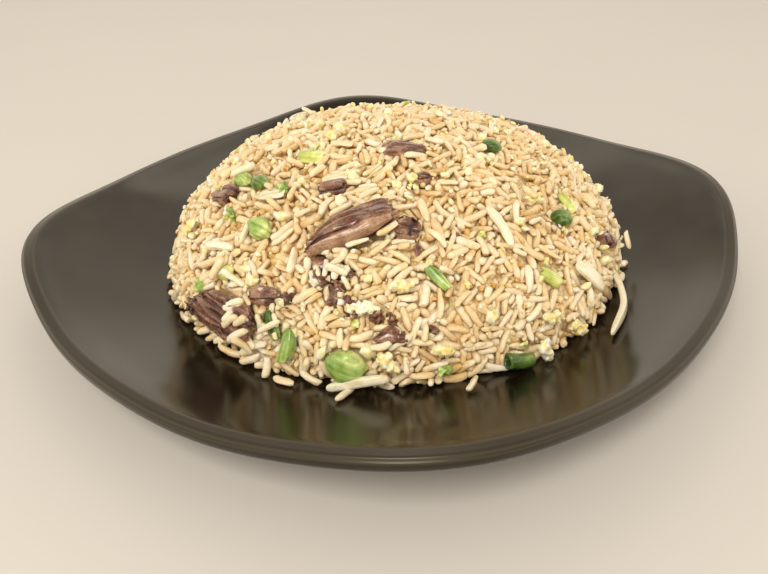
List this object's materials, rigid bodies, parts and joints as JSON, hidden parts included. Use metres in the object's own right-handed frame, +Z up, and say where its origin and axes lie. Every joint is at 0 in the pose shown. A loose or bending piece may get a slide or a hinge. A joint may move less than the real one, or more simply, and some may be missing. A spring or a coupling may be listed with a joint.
{
  "type": "fried rice plate",
  "caption": "Moulded mound of fried rice with beef, greens, egg and sprouts on a dark square plate with round sides and raised corners.",
  "frame": {"origin": "on the table plane under the middle of the plate", "axes": "+Z up, +X and +Y each through a raised corner of the plate; the side with the largest slice of beef faces -Y"},
  "size_m": [0.281, 0.281, 0.0648],
  "materials": {
    "plate_glaze": "satin black glaze with a soft sheen",
    "rice": "cooked grains, lightly oiled, cream to soy brown",
    "beef": "stir-fried beef, moist brown with a thin glaze of sauce",
    "greens": "wet cooked scallion, pale inside and dark outside",
    "egg": "soft scrambled curd, pale yellow",
    "sprout": "cooked bean sprout and onion, half clear and moist"
  },
  "bodies": {
    "root": {"plate": "plate_glaze", "rice_mound": "rice", "beef_top": "beef", "beef_under": "beef", "beef_crown": "beef", "beef_foot": "beef", "beef_foot_upper": "beef", "beef_upper": "beef", "beef_left": "beef", "beef_rear_low": "beef", "beef_rear": "beef", "beef_right": "beef", "beef_front": "beef", "beef_back_left": "beef", "beef_back_right": "beef", "green_front": "greens", "green_bent": "greens", "green_leaf": "greens", "green_strip": "greens", "green_ring": "greens", "green_left": "greens", "green_left_pale": "greens", "green_low_left": "greens", "green_square": "greens", "green_long": "greens", "green_olive": "greens", "green_foot": "greens", "green_rear_left": "greens", "green_rear_right": "greens", "green_back_left": "greens", "green_back": "greens", "green_back_right": "greens", "egg_front": "egg", "egg_middle": "egg", "egg_low": "egg", "egg_low_right": "egg", "egg_foot": "egg", "egg_right": "egg", "egg_far_right": "egg", "egg_upper_right": "egg", "egg_left": "egg", "egg_back": "egg", "egg_back_left": "egg", "sprout_front": "sprout", "sprout_white": "sprout", "sprout_stalk": "sprout", "sprout_sliver": "sprout", "onion_petal": "sprout", "sprout_back": "sprout", "sprout_hanging": "sprout"}
  },
  "joints": []
}
